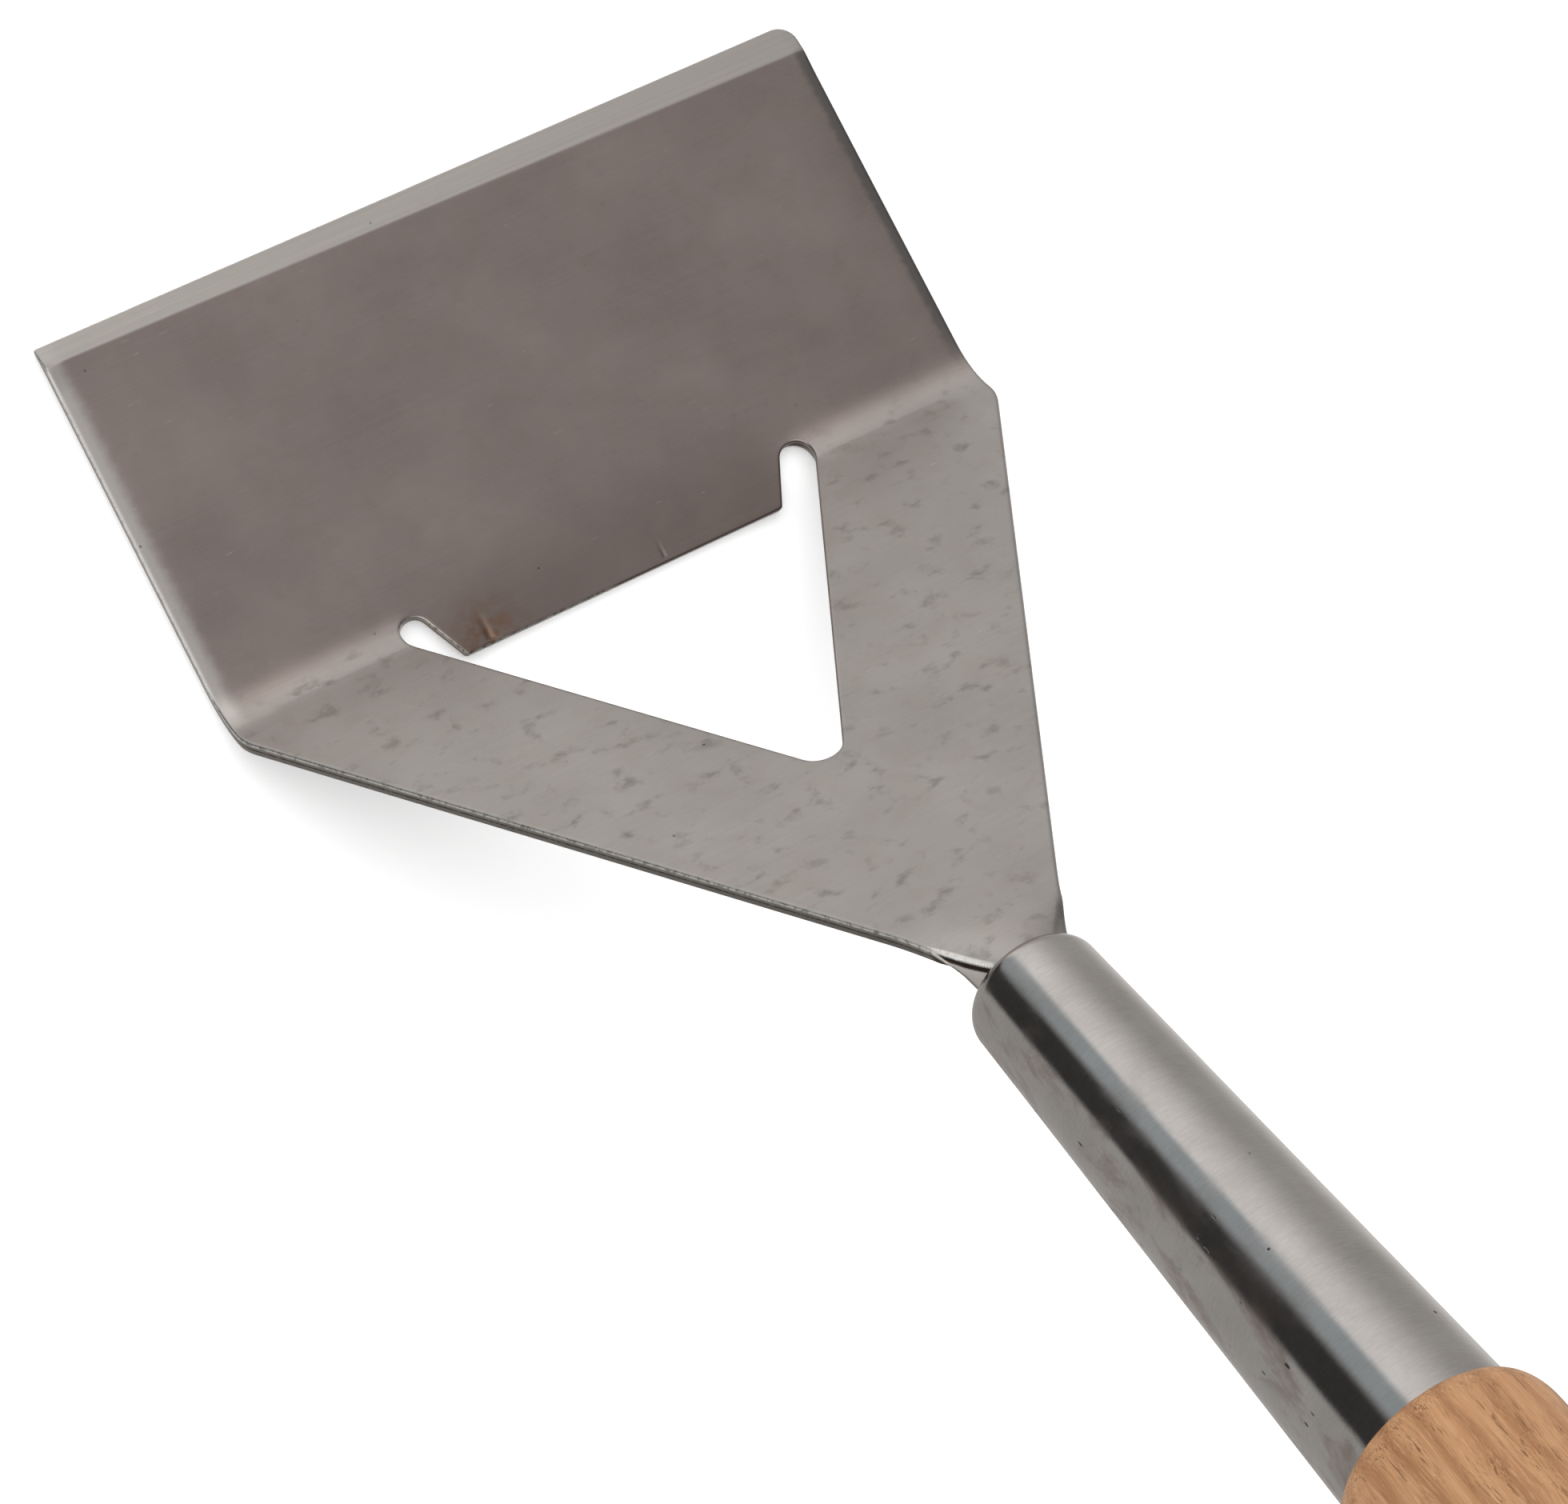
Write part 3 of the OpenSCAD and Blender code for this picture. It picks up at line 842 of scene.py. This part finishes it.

    # The neck's left fold: a painted highlight along its ridge, with a painted dark reflection in the crease
    # under it
    ahead = n.most(n.plus(along, MOUTH_S), 0.0)
    past_fold = n.minus(off_middle, n.plus(n.times(ahead, FOLD_SLOPE), FOLD_X))
    at_neck = n.times(n.between(along, -FOLD_SPAN_S[0], -FOLD_SPAN_S[0] - 3.0), n.between(across, 0.0, -2.0))
    uneven = n.noise(place, 1.1, 4, 0.7)
    # Painted highlight along the fold's ridge
    painted_ridge_highlight = n.times(n.between(past_fold, -0.75, -0.25), n.between(past_fold, 0.22, 0.1))
    painted_ridge_highlight = n.times(n.times(painted_ridge_highlight, at_neck), n.between(uneven, 0.25, 0.5))
    colour = n.mix(painted_ridge_highlight, colour, (1.0, 0.95, 0.9))
    # Painted dark reflection in the fold's crease
    painted_crease_shade = n.times(n.between(past_fold, 0.2, 0.32), n.between(past_fold, 0.75, 0.55))
    painted_crease_shade = n.times(n.times(painted_crease_shade, at_neck), n.between(uneven, 0.15, 0.4))
    colour = n.mix(painted_crease_shade, colour, (0.045, 0.032, 0.025))

    # The cut edge: a painted highlight on the rolled top along the left side, a dark tear line, and a dull
    # lower half
    colour = n.mix(n.times(n.between(depth, 0.45, 0.7), 0.5), colour, (0.2, 0.185, 0.16))
    # Painted highlight on the top of the cut edge, on the left side only
    painted_rim_highlight = n.times(n.between(depth, 0.01, 0.08), n.between(depth, 0.5, 0.35))
    painted_rim_highlight = n.times(n.times(painted_rim_highlight, n.between(across, 0.0, -4.0)), n.between(uneven, 0.35, 0.55))
    colour = n.mix(n.times(painted_rim_highlight, 0.9), colour, (1.0, 0.97, 0.93))
    tear = n.times(n.between(depth, 0.78, 0.95), n.between(depth, 1.25, 1.05))
    ragged = n.noise(n.stretch(place, (1.0, 1.0, 0.2)), 1.6, 3, 0.7)
    colour = n.mix(n.times(tear, n.between(ragged, 0.25, 0.6)), colour, (0.07, 0.06, 0.055))

    # Pits and fine scratches
    pit_cell = n.cells(n.stretch(place, (1, 1, 0)), 0.16)
    pit = n.times(n.between(pit_cell, 0.05, 0.015), n.between(smudge, 0.5, 0.6))
    scratch_a = n.noise(n.stretch(place, (0.22, 3.4, 1), (0, 0, 0.5)), 1.0, 2, 0.5, 0.3)
    scratch_b = n.noise(n.stretch(place, (0.25, 4.0, 1), (0, 0, -0.95), (9, 4, 0)), 1.0, 2, 0.5, 0.3)
    scratch = n.most(n.between(scratch_a, 0.74, 0.79), n.between(scratch_b, 0.74, 0.79))
    colour = n.mix(n.times(pit, 0.8), colour, (0.05, 0.04, 0.035))
    colour = n.mix(n.times(scratch, 0.45), colour, (0.8, 0.76, 0.72))

    grain = n.noise(n.stretch(place, (0.3, 7.0, 1.0)), 1.0, 3, 0.6)
    rough = n.plus(n.times(clouds, 0.1), n.times(blotch, 0.25))
    rough = n.plus(rough, n.times(grain, 0.08))
    rough = n.plus(rough, n.times(n.plus(tear, painted_crease_shade), 0.3))
    rough = n.plus(rough, 0.2)
    height = n.plus(n.times(grain, 0.25), n.times(smudge, 0.5))
    height = n.minus(height, n.plus(n.times(pit, 1.5), n.times(scratch, 0.4)))
    n.surface(Base_Color=colour, Metallic=1.0, Roughness=rough, Normal=n.bump(height, 0.02 * MM, 0.6))
    return material


def tube_steel():
    """Polished tube, lightly hatched round its girth, with dark pits and dull brown patches."""
    material, n = new_material("tube_steel")
    place = kept_place(n)
    clouds = n.noise(place, 0.09, 4, 0.6)
    colour = n.ramp(clouds, [(0.3, (0.5, 0.485, 0.475)), (0.7, (0.58, 0.572, 0.565))])
    hatch = n.noise(n.stretch(place, (0.5, 0.5, 5.0), (0.12, 0.1, 0)), 1.0, 4, 0.7)
    colour = n.mix(0.22, colour, n.ramp(hatch, [(0.3, 0.3), (0.7, 0.7)]), "OVERLAY")
    patch = n.noise(n.stretch(place, (1, 1, 0.45), (0, 0, 0), (3, 1, 7)), 0.14, 5, 0.65, 0.5)
    side = n.tree.nodes.new("ShaderNodeSeparateXYZ")
    n.tree.links.new(place, side.inputs[0])
    left = n.between(side.outputs[0], -4.0, -9.0)
    dull = n.between(patch, 0.47, 0.68)
    colour = n.mix(n.times(n.times(dull, left), 0.75), colour, (0.33, 0.265, 0.245))
    colour = n.mix(n.times(dull, 0.15), colour, (0.4, 0.34, 0.32))
    dot = n.times(n.between(n.cells(place, 0.2), 0.07, 0.03), n.between(patch, 0.5, 0.56))
    slit_at = n.stretch(place, (1.9, 1.9, 0.62), (0.25, 0, 0))
    ragged = n.times(n.noise(place, 2.2, 3, 0.7), 0.06)
    slit = n.between(n.plus(n.cells(slit_at, 0.26), ragged), 0.15, 0.09)
    slit = n.times(n.times(slit, left), n.between(patch, 0.4, 0.5))
    pit = n.most(dot, slit)
    colour = n.mix(n.times(pit, 0.85), colour, (0.03, 0.028, 0.028))
    rough = n.plus(n.times(dull, 0.14), n.times(hatch, 0.08))
    rough = n.plus(rough, n.times(pit, 0.4))
    rough = n.plus(rough, 0.065)
    height = n.plus(n.times(hatch, 0.35), n.times(n.noise(place, 0.35, 3), 1.2))
    height = n.minus(height, n.times(pit, 2.0))
    n.surface(Base_Color=colour, Metallic=1.0, Roughness=rough, Normal=n.bump(height, 0.02 * MM, 0.5))
    return material


def plain_steel(name, colour, roughness):
    """Drawn or turned steel for the small fittings."""
    material, n = new_material(name)
    place = object_mm(n)
    clouds = n.noise(place, 0.3, 4, 0.6)
    dark = tuple(c * 0.8 for c in colour)
    shade = n.mix(n.between(clouds, 0.35, 0.65), dark, colour)
    lines = n.noise(n.stretch(place, (1, 1, 9)), 1.0, 3)
    rough = n.plus(n.times(clouds, 0.2), roughness - 0.1)
    height = n.plus(lines, n.times(clouds, 2.0))
    n.surface(Base_Color=shade, Metallic=1.0, Roughness=rough, Normal=n.bump(height, 0.02 * MM, 0.4))
    return material


def weld_metal():
    """Dull, rippled bead with heat colours."""
    material, n = new_material("weld_metal")
    place = object_mm(n)
    clouds = n.noise(place, 0.9, 4, 0.7)
    colour = n.ramp(clouds, [(0.3, (0.12, 0.1, 0.09)), (0.5, (0.3, 0.22, 0.16)), (0.7, (0.38, 0.36, 0.36))])
    ripple = n.noise(n.stretch(place, (0.6, 1.6, 1.6)), 1.2, 2)
    n.surface(Base_Color=colour, Metallic=1.0, Roughness=0.55, Normal=n.bump(ripple, 0.3 * MM, 0.6))
    return material


def wood():
    """Oiled hardwood turned on its axis: broad figure, fine streaks and short open pores along the grain."""
    material, n = new_material("grip_wood")
    place = kept_place(n)
    slow = n.stretch(place, (1, 1, 0.3))
    sway = n.add("ShaderNodeTexNoise", {"Vector": slow, "Scale": 0.09, "Detail": 2.0}, output=1)
    grain = n.add("ShaderNodeVectorMath", {0: place, 1: n.scale(sway, 7.0)}, operation="ADD")
    bent = n.stretch(grain, (1, 1, 0.07), (0.1, 0.05, 0), (14, -9, 0))
    rings = n.add(
        "ShaderNodeTexWave",
        {"Vector": bent, "Scale": 0.075, "Distortion": 2.5, "Detail": 3.0, "Detail Scale": 0.5},
        output=1,
        wave_type="RINGS",
        rings_direction="Z",
        wave_profile="SIN",
    )
    figure = [
        (0.0, (0.385, 0.2, 0.09)),
        (0.5, (0.36, 0.182, 0.079)),
        (0.85, (0.3, 0.14, 0.056)),
        (1.0, (0.265, 0.118, 0.044)),
    ]
    colour = n.ramp(rings, figure)
    drift = n.noise(n.stretch(place, (1, 1, 0.18)), 0.09, 3, 0.5)
    colour = n.mix(n.times(n.between(drift, 0.4, 0.7), 0.4), colour, (0.41, 0.208, 0.09))
    streak = n.noise(n.stretch(grain, (3.0, 3.0, 0.085)), 1.0, 5, 0.65)
    colour = n.mix(n.times(n.between(streak, 0.48, 0.7), 0.6), colour, (0.215, 0.088, 0.031))
    pale = n.noise(n.stretch(grain, (3.4, 3.4, 0.14), (0, 0, 0), (5, 2, 8)), 1.0, 4, 0.65)
    colour = n.mix(n.times(n.between(pale, 0.5, 0.68), 0.5), colour, (0.49, 0.28, 0.148))
    pore = n.noise(n.stretch(grain, (5.6, 5.6, 0.26)), 1.0, 3, 0.6)
    open_zone = n.between(n.noise(n.stretch(grain, (0.5, 0.5, 0.06)), 1.0, 2), 0.42, 0.6)
    pores = n.times(n.between(pore, 0.57, 0.64), open_zone)
    colour = n.mix(n.times(pores, 0.7), colour, (0.13, 0.052, 0.018))
    rough = n.plus(n.times(streak, 0.25), n.times(pores, 0.2))
    rough = n.plus(rough, 0.34)
    height = n.minus(n.times(streak, 0.5), n.times(pores, 1.6))
    normal = n.bump(height, 0.08 * MM, 0.7)
    n.surface(Base_Color=colour, Roughness=rough, Normal=normal, Specular_IOR_Level=0.4)
    return material


def floor_paint():
    """Matt pale floor with a barely seen mottling."""
    material, n = new_material("floor_paint")
    place = n.add("ShaderNodeTexCoord", output=3)
    shade = n.ramp(n.noise(place, 3.0, 3), [(0.3, (0.9, 0.9, 0.9)), (0.7, (0.92, 0.92, 0.92))])
    n.surface(
        Base_Color=shade,
        Roughness=0.9,
        Specular_IOR_Level=0.0,
        Emission_Color=(1, 1, 1, 1),
        Emission_Strength=0.15,
    )
    return material


# ---------------------------------------------------------------- studio


EVEN_LIGHT = 1.3
ROOM_LIGHT = 0.45
WARM, COOL = (1.0, 0.96, 0.92), (0.9, 0.97, 1.0)

# Where each light starts and ends, in degrees round the handle: 0 on its right, 90 over its top
KEY_LIGHT, KEY_SPAN = 0.5, ((20, 90), (105, 95))
FILL_LIGHT, FILL_SPAN = 0.25, ((-90, -45), (0, -45))
CARD_SHADE, CARD_SPAN = 0.9, ((120, 135), (175, 165))
COOL_SPAN = ((95, 105), (135, 120))

# The room over the blade, which gets brighter to the left in two steps
ABOVE_LIGHT = 0.1
ABOVE_STEPS = ((30, 70, 0.25), (80, 105, 0.5))
ABOVE_BLEND = (-0.35, 0.3)


def build_world():
    """Even light for everything matt. The steel mirrors a plain room with soft boxes and a black card."""
    world = bpy.data.worlds.new("studio")
    bpy.context.scene.world = world
    world.use_nodes = True
    n = Nodes(world.node_tree)
    look = n.add("ShaderNodeTexCoord", output=0)

    def dot(axis):
        inputs = {0: look, 1: tuple(axis)}
        return n.add("ShaderNodeVectorMath", inputs, output=1, operation="DOT_PRODUCT")

    def band(rise, fall):
        return n.times(n.between(turn, *rise), n.between(turn, *fall))

    turn = n.times(n.math("ARCTAN2", dot(HANDLE_UP), dot((1, 0, 0))), 180 / math.pi)
    key, fill, card = band(*KEY_SPAN), band(*FILL_SPAN), band(*CARD_SPAN)
    beside = n.plus(n.times(key, KEY_LIGHT), n.times(fill, FILL_LIGHT))
    beside = n.times(n.plus(beside, ROOM_LIGHT), n.minus(1.0, n.times(card, CARD_SHADE)))
    first, second = (n.times(n.between(turn, low, high), light) for low, high, light in ABOVE_STEPS)
    above = n.plus(n.plus(first, second), ABOVE_LIGHT)
    towards_grip = n.between(dot(HANDLE_ALONG), *ABOVE_BLEND)
    bright = n.plus(beside, n.times(towards_grip, n.minus(above, beside)))
    mirrored = n.scale(n.mix(band(*COOL_SPAN), WARM, COOL), bright)
    rays = n.tree.nodes.new("ShaderNodeLightPath")
    shade = n.mix(rays.outputs["Is Glossy Ray"], (EVEN_LIGHT,) * 3, mirrored)
    background = n.add("ShaderNodeBackground", {"Color": shade, "Strength": 1.0})
    n.add_output("ShaderNodeOutputWorld", background)


FLOOR_SIZE, FLOOR_CELLS, FLOOR_Z = 8000.0, 8, -0.25


def build_floor():
    """Wide floor just under the blade. The steel doesn't mirror it."""
    ticks = [FLOOR_SIZE * (k / FLOOR_CELLS - 0.5) for k in range(FLOOR_CELLS + 1)]
    points = [(x, y, FLOOR_Z) for y in ticks for x in ticks]
    row = FLOOR_CELLS + 1
    faces = [
        (j * row + i, j * row + i + 1, (j + 1) * row + i + 1, (j + 1) * row + i)
        for j in range(FLOOR_CELLS)
        for i in range(FLOOR_CELLS)
    ]
    floor = make_object("floor", points, faces)
    floor.data.materials.append(floor_paint())
    floor.visible_glossy = False


SOFT_BOX_PLACE, SOFT_BOX_AIM = (0.5, 0.5, 1.3), (0, -0.1, 0.05)
SOFT_BOX_SIZE, SOFT_BOX_WATTS = 2.0, 6.0


def build_light():
    """One broad light above, so that round parts are modelled. The steel mirrors the studio and not this."""
    data = bpy.data.lights.new("soft_box", "AREA")
    data.shape = "RECTANGLE"
    data.size = data.size_y = SOFT_BOX_SIZE
    data.energy = SOFT_BOX_WATTS
    light = bpy.data.objects.new("soft_box", data)
    light.location = SOFT_BOX_PLACE
    from_aim = Vector(light.location) - Vector(SOFT_BOX_AIM)
    light.rotation_euler = from_aim.to_track_quat("Z", "Y").to_euler()
    light.visible_glossy = False
    bpy.context.scene.collection.objects.link(light)


CAMERA_PLACE = (-0.20573, -0.1031, 0.70672)
VIEW_AHEAD, VIEW_UP = (0.2909, 0.0857, -0.9529), (0.4159, 0.8856, 0.2067)
LENS, SENSOR_W = 115.2, 36.0


def build_camera():
    """Camera that sees the blade from above its left side, with the grip running out of the frame."""
    data = bpy.data.cameras.new("camera")
    data.sensor_width = SENSOR_W
    data.lens = LENS
    data.clip_start, data.clip_end = 0.05, 20.0
    camera = bpy.data.objects.new("camera", data)
    away = -Vector(VIEW_AHEAD).normalized()
    up = Vector(VIEW_UP)
    right = up.cross(away).normalized()
    up = away.cross(right)
    axes = Matrix((right, up, away)).transposed().to_4x4()
    camera.matrix_world = Matrix.Translation(CAMERA_PLACE) @ axes
    bpy.context.scene.collection.objects.link(camera)
    bpy.context.scene.camera = camera


def dress(obj, material):
    """Gives an object one material in place of those it has."""
    obj.data.materials.clear()
    obj.data.materials.append(material)


build_camera()
build_world()
build_light()
build_floor()
bpy.context.scene.view_settings.view_transform = "Standard"

fitting = plain_steel("fitting_steel", (0.56, 0.56, 0.56), 0.28)
for node, material in (
    ("tang_rod", plain_steel("rod_steel", (0.5, 0.5, 0.5), 0.35)),
    ("tang_welds", weld_metal()),
    ("end_washer", fitting),
):
    dress(frame["nodes"][node], material)

for piece, material, node, slot in (
    (build_sheet(), sheet_steel(), "blade", "blade_steel"),
    (build_ferrule(), tube_steel(), "ferrule", "ferrule_steel"),
    (build_grip(), wood(), "grip", "grip_wood"),
    (build_eye(), fitting, "hanging_eye", "fitting_steel"),
):
    dress(piece, material)
    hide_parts(node)
    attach(piece, "root")
